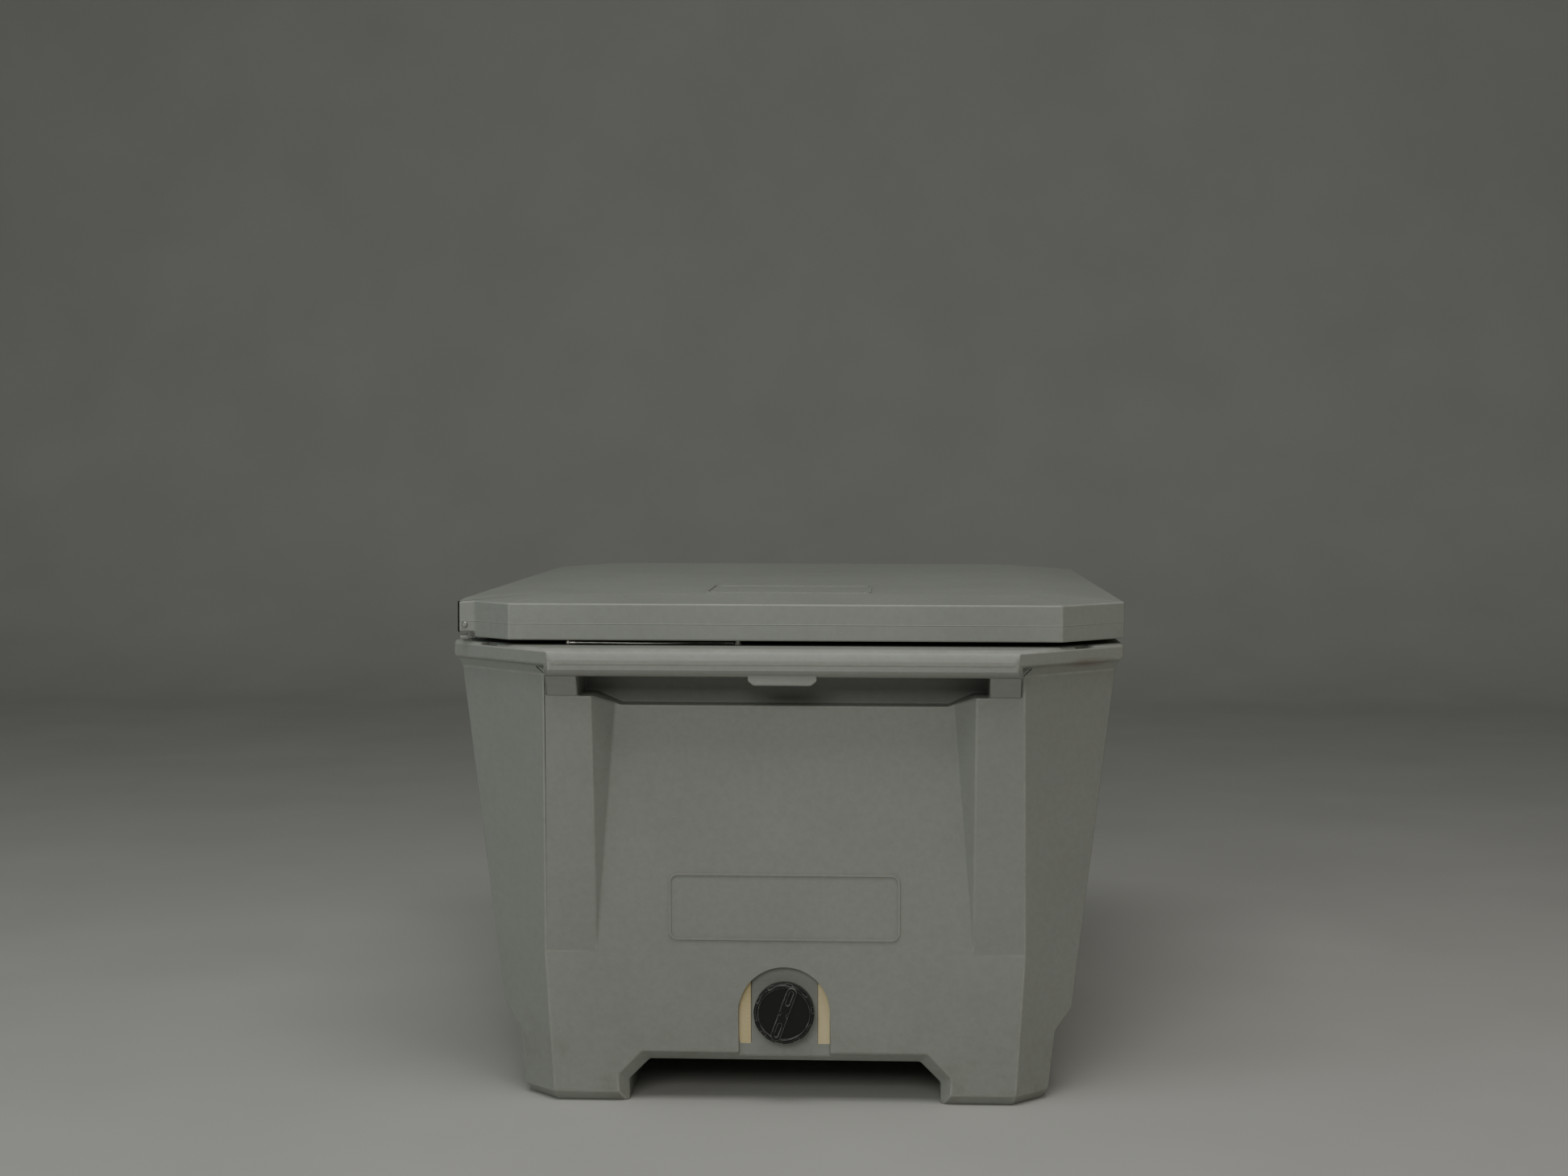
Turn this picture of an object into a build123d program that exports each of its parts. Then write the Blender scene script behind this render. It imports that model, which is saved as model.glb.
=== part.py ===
"""Large rotomoulded cooler chest: tub, hinged lid, rubber latches, screw-cap drain and lid stay.

Frame: origin at the middle of the footprint on the floor, +Z up.
The drain end faces -Y, the hinges are along -X and the latches along +X.
All sizes are in millimetres.
"""

from build123d import *
import os
from math import radians, tan

os.makedirs("parts", exist_ok=True)

from_above = (Align.CENTER, Align.CENTER, Align.MAX)  # a solid hung below its place

# ---- driving dimensions -------------------------------------------------------------------
half_width = 381.0  # rim and lid, across X
bar_front = 538.5  # front of each end handle bar
rim_top = 520.0
lip_height = 20.0
bar_height = 31.0
bar_depth = 37.0
bar_end = 261.0  # half length of the bar's lower part and its gussets
rim_clip_sum = 793.0  # x + y along the 45 degree corner of the rim
lip_radius = 5.0
bar_radius = 13.0

outline_width = 2.5  # blank raised outlines on the drain end and the lid
outline_relief = 1.5
badge_size = (259.0, 76.0)
lid_outline_size = (190.0, 150.0)
lid_outline_y = -320.0

foot_bevel = 12.0
step_low = 77.0
step_high = 101.0
crease_height = 173.0
wall_top = rim_top - lip_height - 10.0
skin = 6.5  # moulded polyethylene wall around the foam

# the outer wall: height, half width, end face, 45 degree corner line
wall_stations = (
    (0.0, 290.0, 450.5, 706.8),
    (foot_bevel, 299.0, 459.5, 719.5),
    (step_low, 306.0, 462.3, 726.0),
    (step_high, 326.0, 463.4, 728.5),
    (crease_height, 334.6, 466.5, 735.7),
    (wall_top, 372.3, 514.0, 778.0),
)
panel_base = 459.5  # recessed middle panel of each end, at the foot bevel
panel_lean = (466.5 - panel_base) / (crease_height - foot_bevel)  # run out for each millimetre of height
panel_front_half = 211.0
panel_side_slant = 0.8

cavity_floor = 92.0
cavity_floor_half = (268.0, 405.0, 623.0)
cavity_top_half = (308.0, 425.0, 678.0)
cavity_corner_radius = 18.0

tunnel_half = 176.0
tunnel_height = 47.0
tunnel_corner = 23.0
tunnel_flare = 12.5
tunnel_flare_depth = 14.0

pocket_half = 226.0
pocket_floor = 453.5
pocket_shoulder = 466.0
pocket_shoulder_start = 182.5
pocket_back = 452.0
pocket_roof = 507.0

lid_bottom = 525.5
lid_edge = 566.5
lid_crown = 7.0
lid_crown_margin = 85.0
lid_half_length = 488.5
lid_clip_sum = 794.5
lid_hinge_side = 371.0
shoulder_x = 352.0
shoulder_y = lid_clip_sum - shoulder_x
lid_plug_bottom = 507.0
lid_plug_half = (302.0, 419.0, 666.0)

hinge_x = -363.0
hinge_z = 539.6
hinge_rod_radius = 2.5
running_gap = 0.05
bracket_places = (-370.0, 0.0, 370.0)
bracket_length = 50.0
bracket_plate = 3.0

latch_places = (-230.0, 230.0)
latch_x = 371.5
latch_z = 541.0
latch_pin_radius = 3.0
recess_half = 29.0
recess_back = 354.0
strap_thickness = 9.0

drain_z = 106.0
drain_seat = 455.5
drain_bore = 13.0
drain_tube = 17.0
drain_neck = 26.9
drain_flange = 33.5
cap_radius = 34.0
arch_radius = 51.2
inner_seat = 408.0

stay_ball = (-240.0, -484.5, 522.8)
stay_stud_top = 543.0
stay_anchor = (-52.0, -468.0)
cable_radius = 1.0
cable_height = 521.8

seal_inner = (318.0, 433.0, 692.0)
seal_width = 9.0
seal_bottom = 520.4
seal_top = 529.5


# ---- shared outlines ----------------------------------------------------------------------
def clipped_corners(half_x, half_y, clip_sum):
    """Eight corners of a rectangle whose corners are cut off at 45 degrees."""
    inner_x = clip_sum - half_y
    inner_y = clip_sum - half_x
    quarter = [(half_x, inner_y), (inner_x, half_y)]
    right = [(x, -y) for x, y in quarter[::-1]] + quarter
    left = [(-x, -y) for x, y in right]
    return right + left


def wall_station(height):
    """Half width, end face and corner line of the outer wall at one height."""
    for low, high in zip(wall_stations, wall_stations[1:]):
        if low[0] <= height <= high[0]:
            share = (height - low[0]) / (high[0] - low[0])
            return tuple(a + (b - a) * share for a, b in zip(low[1:], high[1:]))
    return wall_stations[-1][1:]


def panel_face(height):
    """Distance of the recessed end panel from the middle of the chest."""
    return panel_base + (height - foot_bevel) * panel_lean


def cavity_station(height):
    """Half width, half length and corner line of the inside at one height."""
    share = (height - cavity_floor) / (rim_top - cavity_floor)
    return tuple(a + (b - a) * share for a, b in zip(cavity_floor_half, cavity_top_half))


def lid_corners():
    """Outline of the lid: clipped corners, with a square shoulder at each end of the hinge side."""
    clip_x = lid_clip_sum - lid_half_length
    near = [(-lid_hinge_side, -shoulder_y), (-shoulder_x, -shoulder_y), (-clip_x, -lid_half_length)]
    near = near + [(clip_x, -lid_half_length), (half_width, half_width - lid_clip_sum)]
    far = [(x, -y) for x, y in near[::-1]]
    return near + far


def tunnel_corners(spread):
    """Section of the open tunnel between the two skids, grown outwards by a spread."""
    half = tunnel_half + spread
    top = tunnel_height + spread * 0.95
    corner = tunnel_corner + spread * 0.3
    right = [(half, -5.0), (half, top - corner), (half - corner, top)]
    left = [(-x, z) for x, z in right[::-1]]
    return right + left


def make_blank_outline(length, width):
    """Rounded frame drawn into the open sketch."""
    inner = 2 * outline_width
    RectangleRounded(length, width, 10.0)
    RectangleRounded(length - inner, width - inner, 10.0 - outline_width, mode=Mode.SUBTRACT)


def save(piece, name):
    """Label one finished piece and write its STEP file."""
    piece.part.label = name
    export_step(piece.part, "parts/" + name + ".step")


# ---- tub ----------------------------------------------------------------------------------
def make_cavity():
    """The inside of the tub, as the space that is cut out of it."""
    with BuildPart() as cavity:
        for height in (cavity_floor, rim_top + 10.0):
            with BuildSketch(Plane.XY.offset(height)):
                Polygon(*clipped_corners(*cavity_station(height)), align=None)
        loft(ruled=True)
        upright = cavity.edges().filter_by(lambda e: e.length > 300.0 and abs(e.tangent_at(0.5).Z) > 0.8)
        fillet(upright, cavity_corner_radius)
        fillet(cavity.faces().sort_by(Axis.Z)[0].edges(), 12.0)
    return cavity


def make_tub_foam():
    """Foam core that fills the double wall of the tub."""
    low = 9.0
    levels = (low, step_low, step_high + 8.0, crease_height, 430.0)
    top = 494.0
    with BuildPart() as tub_foam:
        for height in levels:
            half_x, end, clip = wall_station(height)
            with BuildSketch(Plane.XY.offset(height)):
                Polygon(
                    *clipped_corners(half_x - skin * 1.6, panel_face(height) - skin, clip - 2.4 * skin),
                    align=None,
                )
        loft(ruled=True)
        with BuildSketch(Plane.XY.offset(levels[-1])):
            Polygon(*clipped_corners(345.0, pocket_back - skin, 745.0), align=None)
        extrude(amount=top - levels[-1])
        for height in (cavity_floor - skin, rim_top):
            half_x, end, clip = cavity_station(height)
            with BuildSketch(Plane.XY.offset(height)):
                Polygon(*clipped_corners(half_x + skin, end + skin, clip + 2 * skin), align=None)
        loft(ruled=True, mode=Mode.SUBTRACT)
        with BuildSketch(Plane.XZ):
            Polygon(*tunnel_corners(tunnel_flare + skin), align=None)
        extrude(amount=bar_front, both=True, mode=Mode.SUBTRACT)
        for place in latch_places:
            with Locations((recess_back + 20.0, place, 460.0)):
                Box(80.0, 2 * recess_half + 14.0, 90.0, mode=Mode.SUBTRACT)
        with Locations((0, -drain_seat, drain_z)):
            Box(76.0, 130.0, 150.0, mode=Mode.SUBTRACT)
    return tub_foam


def make_rim_with_bars():
    """Moulded rim lip with a full-width handle bar across each end."""
    with BuildPart() as rim:
        with BuildSketch(Plane.XY.offset(rim_top - lip_height)):
            Polygon(*clipped_corners(half_width, bar_front, rim_clip_sum), align=None)
        extrude(amount=lip_height)
        fillet(rim.edges().filter_by(Axis.Z), 14.0)
        outer = rim.faces().filter_by(Axis.Z)
        fillet(outer.edges(), lip_radius)
        for end in (-1, 1):
            back = bar_front - bar_depth
            front = bar_front - 1.0
            root = [(rim_clip_sum - front, front), (bar_end, rim_clip_sum - bar_end - 1.0), (bar_end, back)]
            root = root + [(-x, y) for x, y in root[::-1]]
            with BuildSketch(Plane.XY.offset(rim_top - bar_height)):
                Polygon(*[(x, end * y) for x, y in root], align=None)
            extrude(amount=bar_height - lip_height + lip_radius + 1.0)
            for corner_z, lift in ((rim_top, 1.0), (rim_top - bar_height, -1.0)):
                with BuildSketch(Plane.YZ.offset(-300.0)):
                    with Locations((end * bar_front, corner_z)):
                        Rectangle(2 * bar_radius, 2 * bar_radius)
                    with Locations((end * (bar_front - bar_radius), corner_z - lift * bar_radius)):
                        Circle(bar_radius, mode=Mode.SUBTRACT)
                    with Locations((end * (bar_front - 2 * bar_radius), corner_z)):
                        Rectangle(2 * bar_radius, 6 * bar_radius, mode=Mode.SUBTRACT)
                    with Locations((end * bar_front, corner_z - lift * 2 * bar_radius)):
                        Rectangle(6 * bar_radius, 2 * bar_radius, mode=Mode.SUBTRACT)
                extrude(amount=600.0, mode=Mode.SUBTRACT)
    return rim


def make_tub_shell(cavity, foam, rim):
    """Double-walled moulding: outer wall, skids, end panels, rim, bars and the inside."""
    with BuildPart() as tub_shell:
        for height, half_x, end, clip in wall_stations:
            with BuildSketch(Plane.XY.offset(height)):
                Polygon(*clipped_corners(half_x, end, clip), align=None)
        loft(ruled=True)
        # the wall flares out to meet the underside of the lip
        half_x, end, clip = wall_stations[-1][1:]
        lip_inset = 4.0
        top_outline = (half_width - lip_inset, end, rim_clip_sum - 1.414 * lip_inset)
        for height, outline in ((wall_top, (half_x, end, clip)), (wall_top + 11.0, top_outline)):
            with BuildSketch(Plane.XY.offset(height)):
                Polygon(*clipped_corners(*outline), align=None)
        loft(ruled=True)

        # recessed middle panel in each end, its sides slanting inwards
        reach = 70.0
        for side in (-1, 1):
            for height in (crease_height, wall_top + 10.0):
                face = wall_station(min(height, wall_top))[1]
                depth = face - panel_face(height)
                inner = panel_front_half - panel_side_slant * depth
                outer = panel_front_half + panel_side_slant * reach
                ring = [(inner, panel_face(height)), (outer, face + reach)]
                ring = ring + [(-x, y) for x, y in ring[::-1]]
                with BuildSketch(Plane.XY.offset(height)):
                    Polygon(*[(x, side * y) for x, y in ring], align=None)
            loft(ruled=True, mode=Mode.SUBTRACT)
        add(rim.part)

        for side in (-1, 1):
            # gusset under each end of the bar
            for flip in (-1, 1):
                foot = pocket_shoulder + 1.0
                low_face = wall_station(foot)[1]
                high = rim_top - bar_height + 4.0
                with BuildSketch(Plane.YZ.offset(flip * pocket_half)):
                    Polygon(
                        (side * (low_face + 2.0), foot),
                        (side * (bar_front - 8.0), high),
                        (side * (bar_front - bar_depth), high),
                        (side * (low_face - 12.0), foot),
                        align=None,
                    )
                extrude(amount=flip * (bar_end - pocket_half))
            # web of moulding behind the bar, before the finger pocket is opened
            with Locations((0, side * 478.0, rim_top - 22.0)):
                Box(2 * bar_end, 60.0, 44.0 - 2 * lip_radius)

        # finger pocket: open below the bar and hollow behind it
        floor_line = [
            (-pocket_half, pocket_shoulder),
            (-panel_front_half, pocket_shoulder),
            (-pocket_shoulder_start, pocket_floor),
            (pocket_shoulder_start, pocket_floor),
            (panel_front_half, pocket_shoulder),
            (pocket_half, pocket_shoulder),
        ]
        for side in (-1, 1):
            bar_low = rim_top - bar_height
            low_part = floor_line + [(pocket_half, bar_low), (-pocket_half, bar_low)]
            with BuildSketch(Plane.XZ.offset(side * pocket_back)):
                Polygon(*low_part, align=None)
            extrude(amount=side * 120.0, mode=Mode.SUBTRACT)
            high_part = [(-pocket_half, pocket_floor + 20.0), (pocket_half, pocket_floor + 20.0)]
            high_part = high_part + [(pocket_half, pocket_roof), (-pocket_half, pocket_roof)]
            with BuildSketch(Plane.XZ.offset(side * pocket_back)):
                Polygon(*high_part, align=None)
            extrude(amount=side * (bar_front - bar_depth - pocket_back), mode=Mode.SUBTRACT)
            # grip tab under the middle of the bar
            tab = [(-37.5, rim_top - bar_height + 3.0), (37.5, rim_top - bar_height + 3.0)]
            tab = tab + [(37.5, 485.0), (31.5, 480.0), (-31.5, 480.0), (-37.5, 485.0)]
            with BuildSketch(Plane.XZ.offset(side * (bar_front - bar_depth + 6.0))):
                Polygon(*tab, align=None)
            extrude(amount=side * (bar_depth - 12.0))

        # tunnel between the skids, with a flared mouth at each end
        with BuildSketch(Plane.XZ):
            Polygon(*tunnel_corners(0.0), align=None)
        extrude(amount=bar_front, both=True, mode=Mode.SUBTRACT)
        mouth = panel_face(tunnel_height) - tunnel_flare_depth
        for side in (-1, 1):
            for share in (0.0, 2.0):
                with BuildSketch(Plane.XZ.offset(side * (mouth + share * tunnel_flare_depth))):
                    Polygon(*tunnel_corners(share * tunnel_flare), align=None)
            loft(ruled=True, mode=Mode.SUBTRACT)

        # arched flat round the drain
        with BuildSketch(Plane.XZ.offset(drain_seat)):
            with Locations((0, drain_z)):
                Circle(arch_radius)
            with Locations((0, drain_z - 40.0)):
                Rectangle(2 * arch_radius, 80.0)
        extrude(amount=30.0, mode=Mode.SUBTRACT)

        # blank raised outline, with no lettering
        badge_z = 225.7
        badge_plane = Plane(
            origin=(0, -panel_face(badge_z), badge_z), x_dir=(1, 0, 0), z_dir=(0, -1, -panel_lean)
        )
        with BuildSketch(badge_plane.offset(-1.0)):
            make_blank_outline(*badge_size)
        extrude(amount=1.0 + outline_relief)

        # latch recesses in the rim and the wall below it
        for place in latch_places:
            with BuildSketch(Plane.XZ.offset(-place)):
                Polygon(
                    (recess_back, rim_top + 5.0),
                    (recess_back, 446.0),
                    (recess_back + 30.0, 416.0),
                    (recess_back + 60.0, 416.0),
                    (recess_back + 60.0, rim_top + 5.0),
                    align=None,
                )
            extrude(amount=recess_half, both=True, mode=Mode.SUBTRACT)
            for y in (place - 15.0, place + 15.0):
                with Locations(Plane((recess_back, y, 471.0), z_dir=(1, 0, 0))):
                    Cylinder(2.0, 32.0, mode=Mode.SUBTRACT)

        # small notches in the rim, just inside the lip of each clipped corner
        notch_inset = 5.3
        for flip_x in (-1, 1):
            for flip_y in (-1, 1):
                middle_x = half_width - 47.0 - notch_inset
                middle_y = rim_clip_sum - half_width + 47.0 - notch_inset
                middle = (flip_x * middle_x, flip_y * middle_y, rim_top)
                with Locations(Location(middle, (0, 0, 45.0 * flip_x * flip_y))):
                    Box(14.0, 32.0, 10.0, mode=Mode.SUBTRACT)

        # the inside, the drain passage with its sump, and the foam core's space
        add(cavity.part, mode=Mode.SUBTRACT)
        with Locations((0, -(inner_seat + 372.0) / 2, 91.0)):
            Box(64.0, inner_seat - 372.0, 28.0, mode=Mode.SUBTRACT)
        with Locations(Plane((0, -inner_seat, drain_z), z_dir=(0, 1, 0))):
            Cylinder(30.0, 14.0, align=(Align.CENTER, Align.CENTER, Align.MIN), mode=Mode.SUBTRACT)
        with Locations(Plane((0, -drain_seat, drain_z), z_dir=(0, 1, 0))):
            Cylinder(drain_tube, 120.0, mode=Mode.SUBTRACT)
        for x, y in bracket_screw_places():
            with Locations((x, y, rim_top)):
                Cylinder(2.2, 38.0, mode=Mode.SUBTRACT)
        with Locations((stay_anchor[0], stay_anchor[1], rim_top)):
            Cylinder(1.8, 36.0, mode=Mode.SUBTRACT)
        add(foam.part, mode=Mode.SUBTRACT)
    return tub_shell


# ---- hinge --------------------------------------------------------------------------------
def bracket_screw_places():
    """Middle of every hinge bracket screw."""
    return [(-342.0, place + y) for place in bracket_places for y in (-15.0, 15.0)]


def make_hinge_bracket(place):
    """Pressed steel bracket: a plate on the rim, an upright and a knuckle round the rod."""
    with BuildPart() as hinge_bracket:
        with BuildSketch(Plane.XZ.offset(-place)):
            with Locations(((-377.0 - 332.0) / 2, rim_top + bracket_plate / 2)):
                Rectangle(45.0, bracket_plate)
            with Locations((hinge_x, (rim_top + hinge_z) / 2)):
                Rectangle(9.0, hinge_z - rim_top)
            with Locations((hinge_x, hinge_z)):
                Circle(7.0)
                Circle(hinge_rod_radius + running_gap, mode=Mode.SUBTRACT)
        extrude(amount=bracket_length / 2, both=True)
        for y in (-15.0, 15.0):
            with Locations((-342.0, place + y, rim_top + bracket_plate)):
                CounterSinkHole(2.2, 4.0, depth=10.0)
    return hinge_bracket


def make_bracket_screws():
    """Countersunk screws that hold the hinge brackets down."""
    with BuildPart() as bracket_screws:
        for x, y in bracket_screw_places():
            with Locations((x, y, rim_top + bracket_plate)):
                Cylinder(2.2, 22.0, align=from_above)
                Cone(2.2, 4.0, 1.8, align=from_above)
                Box(4.4, 0.9, 2.0, align=from_above, mode=Mode.SUBTRACT)
    return bracket_screws


def make_hinge_rod():
    """Stainless rod through the lid's ears and the brackets, with a domed head at each end."""
    head_radius = 3.5
    with BuildPart() as hinge_rod:
        with Locations(Plane((hinge_x, 0, hinge_z), z_dir=(0, 1, 0))):
            Cylinder(hinge_rod_radius, 2 * shoulder_y + 1.0)
        for side in (-1, 1):
            with Locations(Plane((hinge_x, side * shoulder_y, hinge_z), z_dir=(0, side, 0))):
                Cylinder(head_radius, 1.0, align=(Align.CENTER, Align.CENTER, Align.MIN))
            dome_start = (hinge_x, side * (shoulder_y + 1.0), hinge_z)
            with BuildSketch(Plane(dome_start, x_dir=(1, 0, 0), z_dir=(0, side, 0))):
                Circle(head_radius)
            extrude(amount=1.3, taper=42)
    return hinge_rod


# ---- lid ----------------------------------------------------------------------------------
def make_lid_foam():
    """Foam core inside the lid and its insulating plug."""
    with BuildPart() as lid_foam:
        with BuildSketch(Plane.XY.offset(545.0)):
            Polygon(*clipped_corners(338.0, 480.0, 770.0), align=None)
        extrude(amount=13.0)
        with BuildSketch(Plane.XY.offset(lid_plug_bottom + skin)):
            half_x, half_y, clip = lid_plug_half
            Polygon(*clipped_corners(half_x - 8.0, half_y - 8.0, clip - 14.0), align=None)
        extrude(amount=545.0 - lid_plug_bottom - skin)
    return lid_foam


def make_lid_envelope():
    """Space under the lid's crown: a flat top with a shallow slope down to every side."""
    spread = 12.0
    low = lid_edge - lid_crown * spread / lid_crown_margin
    with BuildPart() as lid_envelope:
        for height, grown in ((low, spread), (lid_edge + lid_crown, -lid_crown_margin)):
            with BuildSketch(Plane.XY.offset(height)):
                outline = (half_width + grown, lid_half_length + grown, lid_clip_sum + 1.414 * grown)
                Polygon(*clipped_corners(*outline), align=None)
        loft(ruled=True)
        extrude(lid_envelope.faces().sort_by(Axis.Z)[0], amount=low - lid_bottom + 5.0)
    return lid_envelope


def make_lid_shell(foam, envelope):
    """Crowned lid moulding with clipped corners, hinge ears, latch recesses and a plug below."""
    with BuildPart() as lid_shell:
        with BuildSketch(Plane.XY.offset(lid_bottom)):
            Polygon(*lid_corners(), align=None)
        extrude(amount=lid_edge + lid_crown - lid_bottom)
        add(envelope.part, mode=Mode.INTERSECT)
        half_x, half_y, clip = lid_plug_half
        for height, inset in ((lid_bottom, 0.0), (lid_plug_bottom, 3.0)):
            with BuildSketch(Plane.XY.offset(height)):
                Polygon(*clipped_corners(half_x - inset, half_y - inset, clip - 1.4 * inset), align=None)
        loft(ruled=True)

        # hinge side: raised underside, a notch for each bracket and the rod's bore
        with Locations(((-shoulder_x - 400.0) / 2, 0, 531.2)):
            Box(400.0 - shoulder_x, 1000.0, 12.0, align=from_above, mode=Mode.SUBTRACT)
        for place in bracket_places:
            with Locations((-374.5, place, 552.5)):
                Box(51.0, bracket_length + 3.0, 30.0, align=from_above, mode=Mode.SUBTRACT)
        with Locations(Plane((hinge_x, 0, hinge_z), z_dir=(0, 1, 0))):
            Cylinder(hinge_rod_radius, 1000.0, mode=Mode.SUBTRACT)

        # latch recesses and the bores of the latch pins
        for place in latch_places:
            with Locations((recess_back + 2.0, place, 552.0)):
                align = (Align.MIN, Align.CENTER, Align.MAX)
                Box(40.0, 2 * recess_half, 30.0, align=align, mode=Mode.SUBTRACT)
            with Locations(Plane((latch_x, place, latch_z), z_dir=(0, 1, 0))):
                Cylinder(latch_pin_radius, 2 * recess_half + 16.0, mode=Mode.SUBTRACT)

        # gasket groove and the hole for the stay's ball stud
        with BuildSketch(Plane.XY.offset(lid_bottom)):
            Polygon(*seal_outline(seal_width), align=None)
            Polygon(*seal_outline(0.0), align=None, mode=Mode.SUBTRACT)
        extrude(amount=seal_top - lid_bottom, mode=Mode.SUBTRACT)
        with Locations((stay_ball[0], stay_ball[1], stay_stud_top)):
            Cylinder(1.5, 30.0, align=from_above, mode=Mode.SUBTRACT)

        # blank raised outline on top, with no lettering
        with BuildSketch(Plane.XY.offset(lid_edge + lid_crown - 1.0)):
            with Locations((0, lid_outline_y)):
                make_blank_outline(*lid_outline_size)
        extrude(amount=1.0 + outline_relief)
        add(foam.part, mode=Mode.SUBTRACT)
    return lid_shell


def seal_outline(spread):
    """Outline of the lid gasket, grown outwards by a spread."""
    half_x, half_y, clip = seal_inner
    return clipped_corners(half_x + spread, half_y + spread, clip + 1.414 * spread)


def make_lid_gasket():
    """Rubber ring in the lid's groove, just above the rim."""
    lip = 2.0
    with BuildPart() as lid_gasket:
        with BuildSketch(Plane.XY.offset(seal_bottom + lip)):
            Polygon(*seal_outline(seal_width), align=None)
            Polygon(*seal_outline(0.0), align=None, mode=Mode.SUBTRACT)
        extrude(amount=seal_top - seal_bottom - lip)
        with BuildSketch(Plane.XY.offset(seal_bottom)):
            Polygon(*seal_outline(seal_width - 2.5), align=None)
            Polygon(*seal_outline(2.5), align=None, mode=Mode.SUBTRACT)
        extrude(amount=lip)
    return lid_gasket


# ---- latches ------------------------------------------------------------------------------
def make_latch_strap(place):
    """Rubber T-latch: eye at the pin, flat strap, narrow neck and a wide pull."""
    face_x = latch_x - strap_thickness / 2
    with BuildPart() as latch_strap:
        with BuildSketch(Plane.YZ.offset(face_x)):
            Polygon(
                (place - 20.0, latch_z),
                (place + 20.0, latch_z),
                (place + 20.0, 484.0),
                (place + 7.0, 478.0),
                (place + 7.0, 460.0),
                (place + 20.0, 460.0),
                (place + 16.0, 444.0),
                (place - 16.0, 444.0),
                (place - 20.0, 460.0),
                (place - 7.0, 460.0),
                (place - 7.0, 478.0),
                (place - 20.0, 484.0),
                align=None,
            )
        extrude(amount=strap_thickness)
        fillet(latch_strap.edges().filter_by(Axis.X), 2.0)
        with Locations(Plane((latch_x, place, latch_z), z_dir=(0, 1, 0))):
            Cylinder(7.0, 40.0)
        for z in (494.0, 502.0, 510.0):
            with Locations((face_x + strap_thickness, place, z)):
                Box(1.6, 28.0, 3.0, mode=Mode.SUBTRACT)
        with Locations(Plane((latch_x, place, latch_z), z_dir=(0, 1, 0))):
            Cylinder(latch_pin_radius + running_gap, 60.0, mode=Mode.SUBTRACT)
    return latch_strap


def make_latch_pin(place):
    """Steel pin across the lid's latch recess."""
    with BuildPart() as latch_pin:
        with Locations(Plane((latch_x, place, latch_z), z_dir=(0, 1, 0))):
            Cylinder(latch_pin_radius, 2 * recess_half + 16.0)
    return latch_pin


def make_latch_keeper(place):
    """Steel plate in the tub's recess with two prongs that catch the pull."""
    with BuildPart() as latch_keeper:
        with BuildSketch(Plane.YZ.offset(recess_back)):
            with Locations((place, 463.0)):
                RectangleRounded(44.0, 30.0, 4.0)
        extrude(amount=3.0)
        for y in (-13.0, 13.0):
            with Locations((recess_back + 3.0, place + y, 464.0)):
                Box(9.0, 8.0, 4.0, align=(Align.MIN, Align.CENTER, Align.CENTER))
        for y in (-15.0, 15.0):
            with Locations(Plane((recess_back + 3.0, place + y, 471.0), z_dir=(1, 0, 0))):
                CounterSinkHole(2.0, 3.6, depth=10.0)
    return latch_keeper


def make_keeper_screws():
    """Countersunk screws that hold both keepers to the wall."""
    with BuildPart() as keeper_screws:
        for place in latch_places:
            for y in (-15.0, 15.0):
                with Locations(Plane((recess_back + 3.0, place + y, 471.0), z_dir=(1, 0, 0))):
                    Cylinder(2.0, 18.0, align=from_above)
                    Cone(2.0, 3.6, 1.6, align=from_above)
                    Box(4.0, 0.9, 1.6, align=from_above, mode=Mode.SUBTRACT)
    return keeper_screws


# ---- drain --------------------------------------------------------------------------------
def drain_plane(distance):
    """Plane square to the drain's axis, facing out of the drain end."""
    return Plane(origin=(0, -distance, drain_z), x_dir=(1, 0, 0), z_dir=(0, -1, 0))


def make_drain_ring(start, thickness, inner, outer):
    """Flat ring on the drain's axis, such as a gasket."""
    with BuildPart() as drain_ring:
        with BuildSketch(drain_plane(start)):
            Circle(outer)
            Circle(inner, mode=Mode.SUBTRACT)
        extrude(amount=thickness)
    return drain_ring


def make_drain_spigot():
    """Moulded outlet: a flange outside, a neck for the cap and a tube through the wall."""
    with BuildPart() as drain_spigot:
        with BuildSketch(drain_plane(drain_seat + 1.5)):
            Circle(drain_flange)
        extrude(amount=4.0)
        with BuildSketch(drain_plane(drain_seat + 5.5)):
            Circle(drain_neck)
        extrude(amount=8.0)
        with BuildSketch(drain_plane(396.0)):
            Circle(drain_tube)
        extrude(amount=drain_seat + 1.5 - 396.0)
        with BuildSketch(drain_plane(drain_seat + 2.5)):
            Circle(22.0)
        extrude(amount=12.0, mode=Mode.SUBTRACT)
        with BuildSketch(drain_plane(390.0)):
            Circle(drain_bore)
        extrude(amount=90.0, mode=Mode.SUBTRACT)
    return drain_spigot


def make_drain_inner_nut():
    """Six-sided nut that clamps the outlet from inside the tub."""
    with BuildPart() as drain_inner_nut:
        with BuildSketch(drain_plane(398.0)):
            RegularPolygon(25.0, 6)
            Circle(drain_tube, mode=Mode.SUBTRACT)
        extrude(amount=inner_seat - 1.5 - 398.0)
    return drain_inner_nut


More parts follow.
